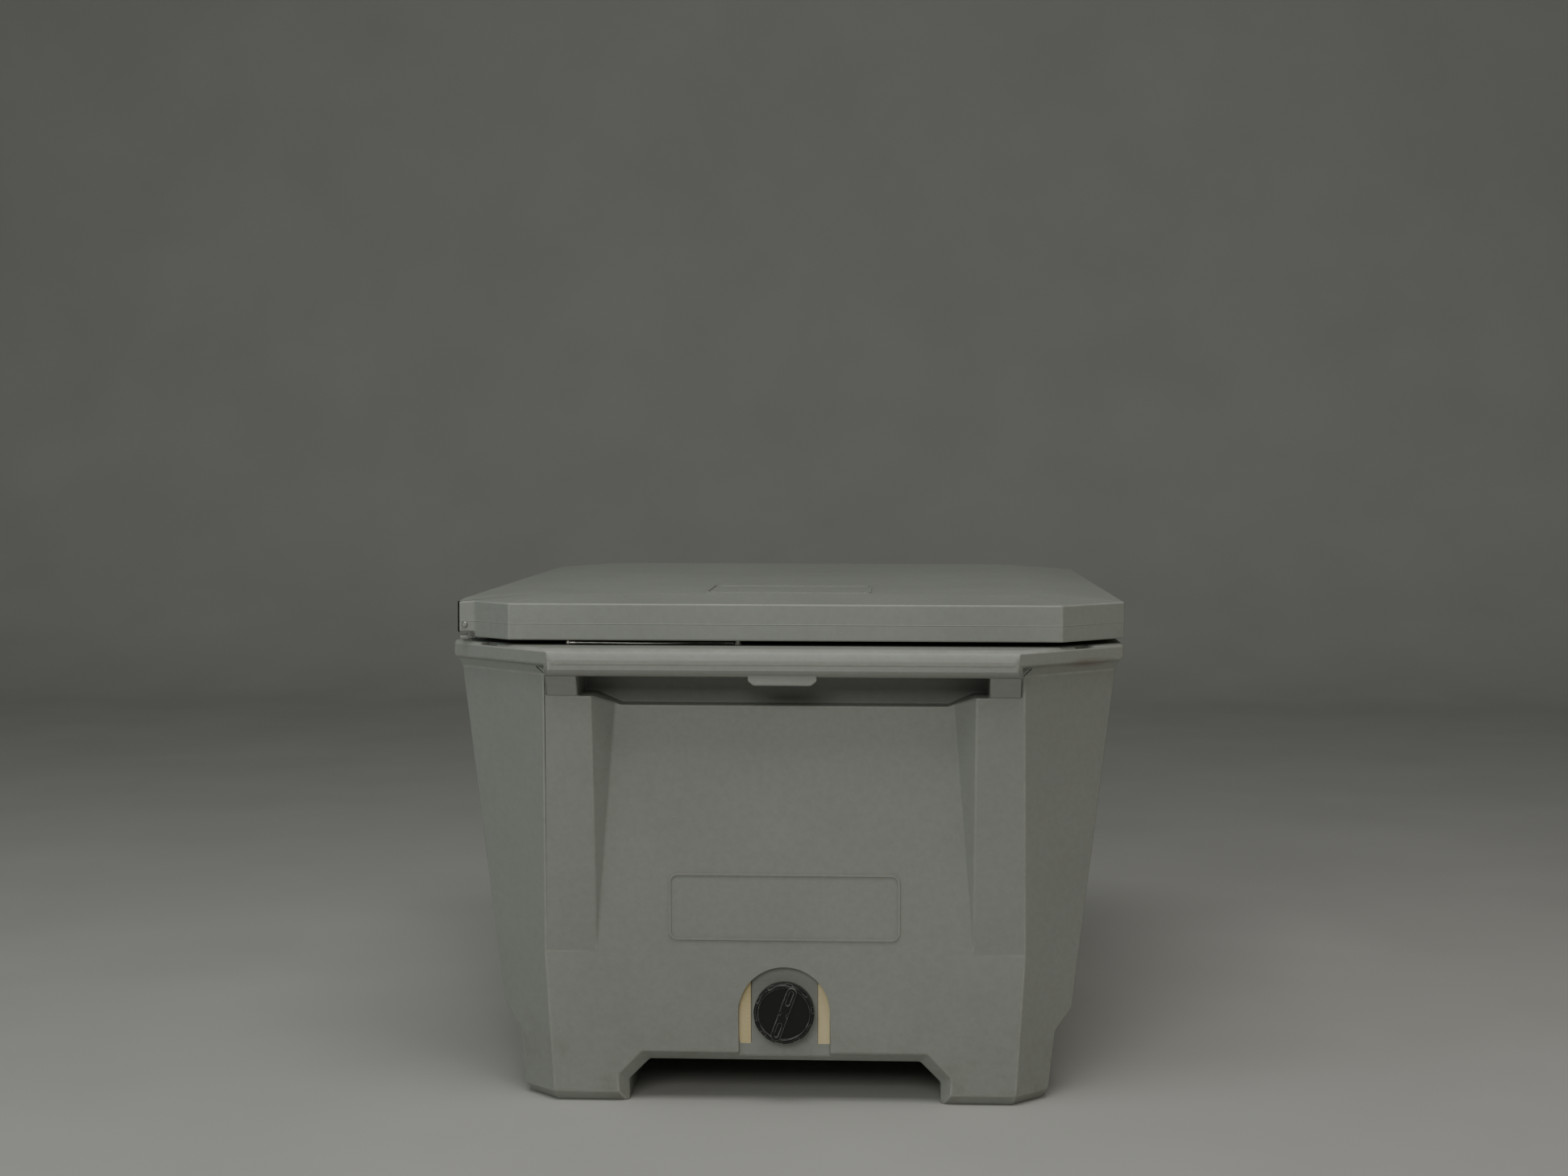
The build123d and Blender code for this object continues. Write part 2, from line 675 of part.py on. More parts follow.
def make_drain_cap():
    """Screw cap: notched rim, sunk face and a slotted grip bar across it."""
    back = drain_seat + 6.8
    height = 13.0
    grip_turn = 70.0
    with BuildPart() as drain_cap:
        with BuildSketch(drain_plane(back)):
            Circle(cap_radius)
        extrude(amount=height)
        chamfer(drain_cap.faces().sort_by(Axis.Y)[0].edges(), 1.8)
        with BuildSketch(drain_plane(back)):
            Circle(drain_neck + 0.1)
        extrude(amount=7.4, mode=Mode.SUBTRACT)
        with BuildSketch(drain_plane(back + height - 3.0)):
            Circle(29.0)
        extrude(amount=5.0, mode=Mode.SUBTRACT)
        with BuildSketch(drain_plane(back + height - 4.0)):
            with PolarLocations(cap_radius - 0.5, 10, start_angle=8.0):
                Rectangle(4.4, 7.0)
        extrude(amount=6.0, mode=Mode.SUBTRACT)
        with BuildSketch(drain_plane(back + height - 3.0)):
            with Locations(Rotation(0, 0, grip_turn)):
                SlotOverall(62.0, 11.0)
        extrude(amount=4.5)
        with BuildSketch(drain_plane(back + height - 1.0)):
            with Locations(Location((0, 0, 0), (0, 0, grip_turn))):
                with Locations((-19.0, 0), (19.0, 0)):
                    SlotOverall(17.0, 4.6)
        extrude(amount=5.0, mode=Mode.SUBTRACT)
        with BuildSketch(drain_plane(back + height)):
            with Locations(Location((0, 0, 0), (0, 0, grip_turn))):
                with Locations((0, 5.6), (0, -5.6)):
                    Circle(2.6)
        extrude(amount=3.0, mode=Mode.SUBTRACT)
    return drain_cap


# ---- lid stay -----------------------------------------------------------------------------
stay_route = [
    (stay_ball[0] + 8.0, stay_ball[1], stay_ball[2]),
    (stay_ball[0] + 30.0, stay_ball[1], stay_ball[2]),
    (-180.0, -484.0, 522.4),
    (-145.0, -480.5, cable_height),
    (-112.0, -472.5, cable_height),
    (-84.0, stay_anchor[1], cable_height),
    (stay_anchor[0] - 14.0, stay_anchor[1], cable_height),
]


def bend_radii(route):
    """Largest tangent radius that each corner of a route leaves room for."""
    radii = []
    for before, corner, after in zip(route, route[1:], route[2:]):
        arriving = Vector(*corner) - Vector(*before)
        leaving = Vector(*after) - Vector(*corner)
        half_turn = radians(arriving.get_angle(leaving)) / 2
        radii.append(0.45 * min(arriving.length, leaving.length) / tan(half_turn))
    return radii


def make_stay_cable():
    """Steel cable between the lid and the rim, lying slack in the gap."""
    radii = bend_radii(stay_route)
    print("stay cable bend radii", [round(radius) for radius in radii])
    with BuildPart() as stay_cable:
        with BuildLine() as path:
            FilletPolyline(*stay_route, radius=radii)
        with BuildSketch(Plane(origin=stay_route[0], z_dir=(1, 0, 0))):
            Circle(cable_radius)
        sweep()
    print("stay cable length", round(sum(edge.length for edge in path.edges()), 1))
    return stay_cable


def make_stay_lid_fitting():
    """Ball stud on the lid with the crimped sleeve that ends the cable."""
    x, y, z = stay_ball
    with BuildPart() as stay_lid_fitting:
        with Locations((x, y, z)):
            Sphere(2.6)
            Cylinder(1.5, stay_stud_top - z, align=(Align.CENTER, Align.CENTER, Align.MIN))
        with BuildSketch(Plane(origin=(x, y, z), z_dir=(1, 0, 0))):
            Circle(1.5)
        extrude(amount=8.0)
    return stay_lid_fitting


def make_stay_rim_eye():
    """Eyelet and sleeve on the other end of the cable, under the rim screw."""
    x, y = stay_anchor
    with BuildPart() as stay_rim_eye:
        with BuildSketch(Plane.XY.offset(rim_top + 0.4)):
            with Locations((x, y)):
                Circle(5.0)
                Circle(1.85, mode=Mode.SUBTRACT)
        extrude(amount=1.6)
        with BuildSketch(Plane(origin=(x - 4.0, y, cable_height), z_dir=(-1, 0, 0))):
            Circle(1.35)
        extrude(amount=10.0)
    return stay_rim_eye


def make_stay_rim_screw():
    """Pan-head screw that holds the cable's eyelet to the rim."""
    x, y = stay_anchor
    with BuildPart() as stay_rim_screw:
        with Locations((x, y, rim_top + 2.0)):
            Cylinder(1.8, 20.0, align=from_above)
            Cylinder(3.6, 2.2, align=(Align.CENTER, Align.CENTER, Align.MIN))
        with Locations((x, y, rim_top + 4.2)):
            Box(5.0, 1.0, 2.0, mode=Mode.SUBTRACT)
    return stay_rim_screw


# ---- every piece, written out ---------------------------------------------------------------
cavity = make_cavity()
tub_foam = make_tub_foam()
lid_foam = make_lid_foam()
save(tub_foam, "tub_foam")
save(lid_foam, "lid_foam")
save(make_tub_shell(cavity, tub_foam, make_rim_with_bars()), "tub_shell")
save(make_lid_shell(lid_foam, make_lid_envelope()), "lid_shell")
save(make_lid_gasket(), "lid_gasket")

end_names = ("drain_end", "middle", "far_end")
for name, place in zip(end_names, bracket_places):
    save(make_hinge_bracket(place), "hinge_bracket_" + name)
save(make_bracket_screws(), "hinge_bracket_screws")
save(make_hinge_rod(), "hinge_rod")

for name, place in zip(("drain_end", "far_end"), latch_places):
    save(make_latch_strap(place), "latch_strap_" + name)
    save(make_latch_pin(place), "latch_pin_" + name)
    save(make_latch_keeper(place), "latch_keeper_" + name)
save(make_keeper_screws(), "latch_keeper_screws")

save(make_drain_spigot(), "drain_spigot")
save(make_drain_ring(drain_seat, 1.5, drain_tube, 33.0), "drain_flange_gasket")
save(make_drain_ring(inner_seat - 1.5, 1.5, drain_tube, 24.0), "drain_inner_gasket")
save(make_drain_inner_nut(), "drain_inner_nut")
save(make_drain_ring(drain_seat + 5.5, 1.3, drain_neck + 0.4, 33.0), "drain_cap_seal")
save(make_drain_cap(), "drain_cap")

save(make_stay_cable(), "stay_cable")
save(make_stay_lid_fitting(), "stay_lid_fitting")
save(make_stay_rim_eye(), "stay_rim_eye")
save(make_stay_rim_screw(), "stay_rim_screw")
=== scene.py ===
from math import cos, pi, radians, sin

import bmesh
import bpy
import numpy as np
from mathutils import Matrix, Vector


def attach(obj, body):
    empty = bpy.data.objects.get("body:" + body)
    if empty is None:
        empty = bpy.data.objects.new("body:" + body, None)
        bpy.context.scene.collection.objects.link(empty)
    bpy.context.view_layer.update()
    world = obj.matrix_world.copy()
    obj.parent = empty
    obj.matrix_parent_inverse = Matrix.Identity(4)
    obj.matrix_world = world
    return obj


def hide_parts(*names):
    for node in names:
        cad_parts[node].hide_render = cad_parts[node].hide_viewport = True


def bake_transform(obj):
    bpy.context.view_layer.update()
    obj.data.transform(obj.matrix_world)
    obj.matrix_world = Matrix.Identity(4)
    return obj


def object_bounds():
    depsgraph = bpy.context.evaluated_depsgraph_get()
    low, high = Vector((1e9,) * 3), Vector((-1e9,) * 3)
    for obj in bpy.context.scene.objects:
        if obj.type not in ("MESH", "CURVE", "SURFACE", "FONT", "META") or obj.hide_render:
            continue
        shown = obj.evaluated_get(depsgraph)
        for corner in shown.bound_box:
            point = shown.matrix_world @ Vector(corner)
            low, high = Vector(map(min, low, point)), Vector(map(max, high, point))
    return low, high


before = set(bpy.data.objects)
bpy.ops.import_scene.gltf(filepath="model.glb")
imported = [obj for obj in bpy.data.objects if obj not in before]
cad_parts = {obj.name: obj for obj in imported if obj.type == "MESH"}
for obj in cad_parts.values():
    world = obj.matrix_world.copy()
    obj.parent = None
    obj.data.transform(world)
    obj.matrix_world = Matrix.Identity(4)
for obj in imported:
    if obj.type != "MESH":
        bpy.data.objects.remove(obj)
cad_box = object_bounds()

scene = bpy.context.scene
MM = 0.001


# Camera: a long lens at waist height, a little to the latch side of the drain end, turned slightly
# towards the hinge side and tipped down by three degrees.
camera_place = Vector((0.118, cad_box[0].y - 2.61, 0.726))
camera_turn = radians(2.54)
camera_tip = radians(3.04)
camera_roll = 0.0018
ahead = Vector((
    -sin(camera_turn) * cos(camera_tip),
    cos(camera_turn) * cos(camera_tip),
    -sin(camera_tip),
))
level_right = ahead.cross(Vector((0, 0, 1))).normalized()
level_up = level_right.cross(ahead)
right = level_right * cos(camera_roll) + level_up * sin(camera_roll)
up = level_up * cos(camera_roll) - level_right * sin(camera_roll)
camera_data = bpy.data.cameras.new("camera")
camera_data.lens = 55.5
camera_data.sensor_width = 36.0
camera = bpy.data.objects.new("camera", camera_data)
facing = Matrix((right, up, -ahead)).transposed().to_4x4()
camera.matrix_world = Matrix.Translation(camera_place) @ facing
scene.collection.objects.link(camera)
scene.camera = camera


# Tub: one rotomoulded polyethylene shell with skids, end bars and rim. Its edges come out of the
# mould rounded, its big faces faintly wavy with a fine pebble skin, and its corners go pale, partly from
# wear and partly as a painted highlight.
def linear(colour):
    """sRGB hex, such as "8fa0ff", as linear RGBA."""
    parts = [int(colour[i:i + 2], 16) / 255 for i in (0, 2, 4)]
    return tuple(c / 12.92 if c <= 0.04045 else ((c + 0.055) / 1.055) ** 2.4 for c in parts) + (1.0,)


def add(tree, kind, values=None, links=None, **settings):
    """Adds one node, sets its attributes and unlinked inputs, and links the rest."""
    made = tree.nodes.new(kind)
    for key, value in settings.items():
        setattr(made, key, value)
    for key, value in (values or {}).items():
        made.inputs[key].default_value = value
    for key, socket in (links or {}).items():
        tree.links.new(socket, made.inputs[key])
    return made


def new_material(name):
    """Empty material with its tree, shader and object coordinates."""
    material = bpy.data.materials.new(name)
    material.use_nodes = True
    tree = material.node_tree
    shader = tree.nodes["Principled BSDF"]
    place = add(tree, "ShaderNodeTexCoord").outputs["Object"]
    return material, tree, shader, place


def noise(tree, place, scale, detail=2.0, roughness=0.5, distortion=0.0):
    """Noise of so many cells to the metre."""
    values = {"Scale": scale, "Detail": detail, "Roughness": roughness, "Distortion": distortion}
    return add(tree, "ShaderNodeTexNoise", values, {"Vector": place}).outputs["Fac"]


def ranged(tree, value, source, target=(0.0, 1.0)):
    """Maps a value from the source range to the target range, held to its ends."""
    values = {"From Min": source[0], "From Max": source[1], "To Min": target[0], "To Max": target[1]}
    return add(tree, "ShaderNodeMapRange", values, {"Value": value}).outputs["Result"]


def joined(tree, kind, operation, terms):
    """A maths node whose terms are sockets or plain values."""
    made = add(tree, kind, operation=operation)
    for socket, term in zip(made.inputs, terms):
        if isinstance(term, bpy.types.NodeSocket):
            tree.links.new(term, socket)
        else:
            socket.default_value = term
    return made


def maths(tree, operation, *terms):
    """Number worked out by one maths node."""
    return joined(tree, "ShaderNodeMath", operation, terms).outputs[0]


def vectors(tree, operation, *terms):
    """Vector worked out by one vector maths node, or a number for a length or dot product."""
    made = joined(tree, "ShaderNodeVectorMath", operation, terms)
    return made.outputs["Value" if operation in ("LENGTH", "DOT_PRODUCT") else "Vector"]


def bumped(tree, height, strength, distance, normal=None):
    """Normal tilted by a height; a second bump rides on the first one's normal."""
    links = {"Height": height}
    if normal:
        links["Normal"] = normal
    values = {"Strength": strength, "Distance": distance}
    return add(tree, "ShaderNodeBump", values, links).outputs["Normal"]


def ramp(tree, factor, stops):
    """Colour ramp with (position, colour) stops."""
    made = add(tree, "ShaderNodeValToRGB", links={"Fac": factor})
    for element, (position, colour) in zip(made.color_ramp.elements, stops):
        element.position = position
        element.color = colour
    return made.outputs["Color"]


def mixed(tree, factor, first, second):
    """Colour mixed from first towards second by a factor socket."""
    made = add(tree, "ShaderNodeMix", data_type="RGBA")
    inputs = [s for s in made.inputs if s.type == "RGBA"]
    tree.links.new(factor, made.inputs[0])
    for socket, value in zip(inputs, (first, second)):
        if isinstance(value, bpy.types.NodeSocket):
            tree.links.new(value, socket)
        else:
            socket.default_value = value
    return [s for s in made.outputs if s.type == "RGBA"][0]


def moulded_polyethylene(name, body, shade, pale, soil, seam_height=None):
    """Rotomoulded polyethylene: waxy satin with a pebble skin, edges pale from wear and a painted
    highlight, soil low down.
    """
    material, tree, shader, place = new_material(name)
    cloud = noise(tree, place, 3.5, 3.0)
    base = ramp(tree, cloud, ((0.35, linear(shade)), (0.65, linear(body))))
    mottle = noise(tree, place, 130.0, 3.0, 0.6)
    tone = mixed(tree, ranged(tree, mottle, (0.35, 0.75), (0.0, 0.14)), base, linear(soil))

    # soil gathers near the floor, broken up by noise
    height = add(tree, "ShaderNodeSeparateXYZ", links={"Vector": place}).outputs["Z"]
    low = ranged(tree, height, (0.14, 0.0))
    patch = ranged(tree, noise(tree, place, 24.0, 7.0, 0.75), (0.48, 0.8), (0.0, 0.5))
    with_soil = mixed(tree, maths(tree, "MULTIPLY", low, patch), tone, linear(soil))

    # a rusty water mark under the lip at the latch side of the drain end
    mark_place = (0.338, -0.452, 0.501)
    mark_reach = (22.0, 22.0, 150.0)
    away = vectors(tree, "MULTIPLY", vectors(tree, "SUBTRACT", place, mark_place), mark_reach)
    mark = ranged(tree, vectors(tree, "LENGTH", away), (1.0, 0.2), (0.0, 0.55))
    rusty = mixed(tree, mark, with_soil, linear("6e5542"))

    # pale edges, from the mesh's own attribute: partly wear, partly a painted highlight
    edge = add(tree, "ShaderNodeAttribute", attribute_name="worn_and_highlight_edge").outputs["Fac"]
    rub_and_highlight = ranged(tree, noise(tree, place, 38.0, 5.0, 0.7), (0.3, 0.62), (0.05, 0.6))
    worn_and_highlight = maths(tree, "MULTIPLY", edge, rub_and_highlight)
    tree.links.new(mixed(tree, worn_and_highlight, rusty, linear(pale)), shader.inputs["Base Color"])

    # fine scuffs break the sheen
    scuff = noise(tree, place, 14.0, 8.0, 0.75, 0.6)
    tree.links.new(ranged(tree, scuff, (0.3, 0.7), (0.4, 0.54)), shader.inputs["Roughness"])

    # faces wavy from cooling, under a pebble skin drawn a little coarse so that it shows
    normal = bumped(tree, noise(tree, place, 9.0, 1.0), 0.4, 0.0016)
    if seam_height:
        # the mould's parting line, a faint raised thread round the skirt
        offset = maths(tree, "ABSOLUTE", maths(tree, "SUBTRACT", height, seam_height))
        thread = ranged(tree, offset, (0.0007, 0.0))
        normal = bumped(tree, thread, 0.7, 0.0004, normal)
    normal = bumped(tree, noise(tree, place, 620.0, 2.0, 0.6), 0.3, 0.0002, normal)
    tree.links.new(normal, shader.inputs["Normal"])
    shader.inputs["IOR"].default_value = 1.51
    shader.inputs["Subsurface Weight"].default_value = 0.04
    shader.inputs["Subsurface Scale"].default_value = 0.004
    return material


def plain_mesh(piece):
    """Turns a piece's modifiers into its own plain mesh."""
    evaluated = piece.evaluated_get(bpy.context.evaluated_depsgraph_get())
    baked = bpy.data.meshes.new_from_object(evaluated)
    piece.modifiers.clear()
    piece.data = baked
    return piece


def breadth(face):
    """Twice a face's area over its outline: the width of a strip, half the width of a square."""
    return 2 * face.calc_area() / max(face.calc_perimeter(), 1e-6)


def mark_worn_and_highlight_edges(mesh, strip):
    """Writes worn_and_highlight_edge: 1 along the middle of rounded convex edges, 0 on the flats."""
    # the edges marked here are painted pale in the materials: partly wear, partly a painted highlight
    bm = bmesh.new()
    bm.from_mesh(mesh)
    slim = {face.index for face in bm.faces if breadth(face) < strip}
    worn_and_highlight = np.zeros(len(bm.verts), dtype=np.float32)
    least_turn = radians(6.0)
    for vert in bm.verts:
        shared = [edge for edge in vert.link_edges if len(edge.link_faces) == 2]
        turning = [edge for edge in shared if edge.calc_face_angle(0.0) > least_turn]
        convex = sum(edge.is_convex for edge in turning)
        if turning and convex > len(turning) / 2 and all(face.index in slim for face in vert.link_faces):
            worn_and_highlight[vert.index] = 1.0
    bm.free()
    attribute = mesh.attributes.new("worn_and_highlight_edge", "FLOAT", "POINT")
    attribute.data.foreach_set("value", worn_and_highlight)


def softened(node, name, radius, material, segments=3, only_outside=False, least=0.0):
    """A copy of a CAD piece with its hard edges rounded as moulding or pressing leaves them."""
    weld = 0.002 * MM
    broad_face = 14 * MM
    strip_share = 0.42
    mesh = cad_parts[node].data.copy()
    mesh.name = name
    bm = bmesh.new()
    bm.from_mesh(mesh)
    bmesh.ops.remove_doubles(bm, verts=bm.verts, dist=weld)
    if only_outside:
        keep_outer_shell(bm)
    bmesh.ops.dissolve_limit(bm, angle_limit=radians(0.4), verts=bm.verts, edges=bm.edges)
    weight = bm.edges.layers.float.new("bevel_weight_edge")
    for edge in bm.edges:
        if len(edge.link_faces) != 2:
            continue
        turn = edge.calc_face_angle(0.0)
        narrower = min(breadth(face) for face in edge.link_faces)
        if narrower < least:
            continue
        if turn > radians(24.0) or (turn > radians(2.0) and narrower > broad_face):
            edge[weight] = min(1.0, strip_share * narrower / radius)
    bm.to_mesh(mesh)
    bm.free()
    mesh.shade_smooth()
    piece = bpy.data.objects.new(name, mesh)
    scene.collection.objects.link(piece)
    bevel = piece.modifiers.new("rounding", "BEVEL")
    bevel.width = radius
    bevel.segments = segments
    bevel.limit_method = "WEIGHT"
    bevel.use_clamp_overlap = not only_outside
    plain_mesh(piece)
    bm = bmesh.new()
    bm.from_mesh(piece.data)
    bmesh.ops.dissolve_degenerate(bm, dist=weld, edges=bm.edges)
    bm.to_mesh(piece.data)
    bm.free()
    piece.data.set_sharp_from_angle(angle=radians(40.0))
    weighted = piece.modifiers.new("face_weighted_normals", "WEIGHTED_NORMAL")
    weighted.mode = "FACE_AREA"
    weighted.keep_sharp = True
    plain_mesh(piece)
    piece.data.materials.clear()
    piece.data.materials.append(material)
    mark_worn_and_highlight_edges(piece.data, radius)
    return piece


def keep_outer_shell(bm):
    """Drops sealed inner surfaces, which nothing can see, and keeps the largest one."""
    seen = set()
    groups = []
    for start in bm.verts:
        if start in seen:
            continue
        stack = [start]
        seen.add(start)
        group = []
        while stack:
            vert = stack.pop()
            group.append(vert)
            for edge in vert.link_edges:
                other = edge.other_vert(vert)
                if other not in seen:
                    seen.add(other)
                    stack.append(other)
        groups.append(group)

    def spread(group):
        xs = [v.co.x for v in group]
        ys = [v.co.y for v in group]
        return (max(xs) - min(xs)) * (max(ys) - min(ys))

    groups.sort(key=spread)
    for group in groups[:-1]:
        bmesh.ops.delete(bm, geom=group, context="VERTS")


edge_radius = 2.0 * MM
narrow_face = 3.0 * MM
# pale edge colour: partly wear, partly a painted highlight on the rounded edges
rubbed_and_highlight = "aaaca2"
soil = "6b6455"
tub_plastic = moulded_polyethylene("rotomoulded_polyethylene", "989b94", "92958e", rubbed_and_highlight, soil)
tub = softened("tub_shell", "tub_moulding", edge_radius, tub_plastic, only_outside=True, least=narrow_face)
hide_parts("tub_shell")
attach(tub, "tub")


# Lid: a second moulding from the same resin, crowned to shed water, with a thin pale arris round its top
# edge, partly wear and partly a painted highlight, and the mould's parting line half way up the skirt.
lid_plastic = moulded_polyethylene(
    "rotomoulded_lid_polyethylene", "969a93", "90948d", rubbed_and_highlight, soil, seam_height=543.6 * MM
)
lid = softened("lid_shell", "lid_moulding", edge_radius, lid_plastic, only_outside=True, least=narrow_face)
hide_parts("lid_shell")
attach(lid, "lid")


# Foam cores: poured polyurethane, straw coloured and closed-celled, sealed inside both mouldings.
def poured_foam(name):
    """Rigid polyurethane foam: matt, pitted, yellowing where it has aged."""
    material, tree, shader, place = new_material(name)
    cells = add(tree, "ShaderNodeTexVoronoi", {"Scale": 400.0}, {"Vector": place})
    age = noise(tree, place, 6.0, 3.0)
    colour = ramp(tree, age, ((0.3, linear("cdb98a")), (0.7, linear("e3d6ad"))))
    tree.links.new(colour, shader.inputs["Base Color"])
    pits = bumped(tree, cells.outputs["Distance"], 0.5, 0.0006)
    tree.links.new(pits, shader.inputs["Normal"])
    shader.inputs["Roughness"].default_value = 0.92
    return material


foam = poured_foam("polyurethane_foam")


def refinish(node, material):
    """Gives a CAD piece whose shape is right its real material."""
    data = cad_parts[node].data
    data.materials.clear()
    data.materials.append(material)


refinish("tub_foam", foam)
refinish("lid_foam", foam)


# Rubber parts: the lid's compression gasket, the two pull-down latches and the drain's seals, all
# pressed from black EPDM that greys with dust in patches, its edges lighter as a painted highlight.
def moulded_rubber(name, body, dust_and_highlight):
    """Compression-moulded rubber: soft dull black, faint dusty bloom, edges lighter as a painted
    highlight, fine matt texture.
    """
    material, tree, shader, place = new_material(name)
    bloom = noise(tree, place, 45.0, 5.0, 0.65)
    colour = ramp(tree, bloom, ((0.4, linear(body)), (0.8, linear(dust_and_highlight))))
    # edges drawn part way to the dust colour: a painted highlight
    edge = add(tree, "ShaderNodeAttribute", attribute_name="worn_and_highlight_edge").outputs["Fac"]
    part = maths(tree, "MULTIPLY", edge, 0.35)
    tree.links.new(mixed(tree, part, colour, linear(dust_and_highlight)), shader.inputs["Base Color"])
    grain = bumped(tree, noise(tree, place, 900.0), 0.4, 0.00015)
    tree.links.new(grain, shader.inputs["Normal"])
    shader.inputs["Roughness"].default_value = 0.68
    shader.inputs["IOR"].default_value = 1.52
    return material


rubber = moulded_rubber("epdm_rubber", "161615", "3a3a37")
for node, name, radius, body in (
    ("lid_gasket", "lid_gasket_ring", 1.5 * MM, "lid"),
    ("latch_strap_drain_end", "latch_drain_end", 1.6 * MM, "drain_end_latch"),
    ("latch_strap_far_end", "latch_far_end", 1.6 * MM, "far_end_latch"),
):
    piece = softened(node, name, radius, rubber)
    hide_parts(node)
    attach(piece, body)
for node in ("drain_flange_gasket", "drain_inner_gasket", "drain_cap_seal"):
    refinish(node, rubber)


# Stainless parts: pressed hinge brackets and keepers, the long hinge rod, latch pins and screws,
# brushed along their length and a little tea-stained by salt.
def brushed_stainless(name, along):
    """304 stainless steel: fine lengthwise brushing, soft highlights, faint brown stains."""
    material, tree, shader, place = new_material(name)
    across_scale = 1500.0
    along_scale = 25.0
    stretch = [across_scale] * 3
    stretch[along] = along_scale
    lay = add(tree, "ShaderNodeMapping", {"Scale": stretch}, {"Vector": place})
    lines = noise(tree, lay.outputs["Vector"], 1.0, 3.0)
    stain = noise(tree, place, 60.0, 5.0, 0.7)
    colour = ramp(tree, stain, ((0.5, linear("c2c2bd")), (0.85, linear("8d7c68"))))
    tree.links.new(colour, shader.inputs["Base Color"])
    tree.links.new(ranged(tree, lines, (0.0, 1.0), (0.22, 0.42)), shader.inputs["Roughness"])
    tree.links.new(bumped(tree, lines, 0.15, 0.00005), shader.inputs["Normal"])
    shader.inputs["Metallic"].default_value = 1.0
    return material


steel = brushed_stainless("brushed_stainless", 1)
for node, name in (
    ("hinge_bracket_drain_end", "bracket_drain_end"),
    ("hinge_bracket_middle", "bracket_middle"),
    ("hinge_bracket_far_end", "bracket_far_end"),
    ("latch_keeper_drain_end", "keeper_drain_end"),
    ("latch_keeper_far_end", "keeper_far_end"),
):
    piece = softened(node, name, 0.6 * MM, steel, segments=2)
    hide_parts(node)
    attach(piece, "tub")
rod = softened("hinge_rod", "hinge_rod_domed", 0.3 * MM, steel, segments=2)
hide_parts("hinge_rod")
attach(rod, "lid")
for node in (
    "hinge_bracket_screws", "latch_keeper_screws", "latch_pin_drain_end", "latch_pin_far_end",
    "stay_lid_fitting", "stay_rim_eye", "stay_rim_screw",
):
    refinish(node, steel)


# Drain: a grey moulded outlet clamped through the wall by a nut inside, and a black screw cap
# with a slotted grip bar, moulded in glass-filled nylon.
def moulded_nylon(name, body, edge_highlight, rough):
    """Injection-moulded nylon: semi-matt, with a painted highlight along its edges."""
    material, tree, shader, place = new_material(name)
    wear_and_highlight_noise = noise(tree, place, 120.0, 6.0, 0.7)
    # where the rounded normal leaves the true one there is an edge, and there a painted highlight is mixed
    # in, broken up by noise
    rounded = add(tree, "ShaderNodeBevel", {"Radius": 1.3 * MM}, samples=8).outputs["Normal"]
    true = add(tree, "ShaderNodeNewGeometry").outputs["Normal"]
    edge = ranged(tree, vectors(tree, "DOT_PRODUCT", rounded, true), (0.99, 0.86))
    part = maths(tree, "MULTIPLY", edge, ranged(tree, wear_and_highlight_noise, (0.36, 0.56)))
    tree.links.new(mixed(tree, part, linear(body), linear(edge_highlight)), shader.inputs["Base Color"])
    sheen = ranged(tree, wear_and_highlight_noise, (0.0, 1.0), (rough - 0.1, rough + 0.12))
    tree.links.new(sheen, shader.inputs["Roughness"])
    grain = bumped(tree, noise(tree, place, 1100.0, 1.0), 0.3, 0.0001, rounded)
    tree.links.new(grain, shader.inputs["Normal"])
    shader.inputs["IOR"].default_value = 1.53
    return material


# the second colour of each is the painted edge highlight
cap_nylon = moulded_nylon("black_nylon", "050505", "8c8c88", 0.36)
outlet_nylon = moulded_nylon("grey_nylon", "6f716b", "9a9b94", 0.5)
refinish("drain_cap", cap_nylon)
refinish("drain_spigot", outlet_nylon)
refinish("drain_inner_nut", outlet_nylon)


# Lid stay: a 2 mm stainless rope of six strands laid round a core, crimped at a ball stud on the
# lid and at an eye on the rim, lying slack in the gap while the lid is shut.
stay_points = [
    (-232.0, -484.5, 522.8),
    (-210.0, -484.5, 522.8),
    (-180.0, -484.0, 522.4),
    (-145.0, -480.5, 521.8),
    (-112.0, -472.5, 521.8),
    (-84.0, -468.0, 521.8),
    (-66.0, -468.0, 521.8),
]
strand_count = 6
strand_radius = 0.33 * MM
rope_radius = 0.64 * MM  # of the strands' middles
lay_length = 13.0 * MM


def smooth_route(points):
    """Evenly spaced points along the route's own NURBS curve."""
    curve = bpy.data.curves.new("stay_route", "CURVE")
    curve.dimensions = "3D"
    curve.resolution_u = 24
    spline = curve.splines.new("NURBS")
    spline.points.add(len(points) - 1)
    for point, place in zip(spline.points, points):
        point.co = (*(c * MM for c in place), 1.0)
    spline.order_u = 3
    spline.use_endpoint_u = True
    holder = bpy.data.objects.new("stay_route", curve)
    scene.collection.objects.link(holder)
    evaluated = holder.evaluated_get(bpy.context.evaluated_depsgraph_get())
    line = bpy.data.meshes.new_from_object(evaluated)
    route = [v.co.copy() for v in line.vertices]
    bpy.data.objects.remove(holder)
    return route


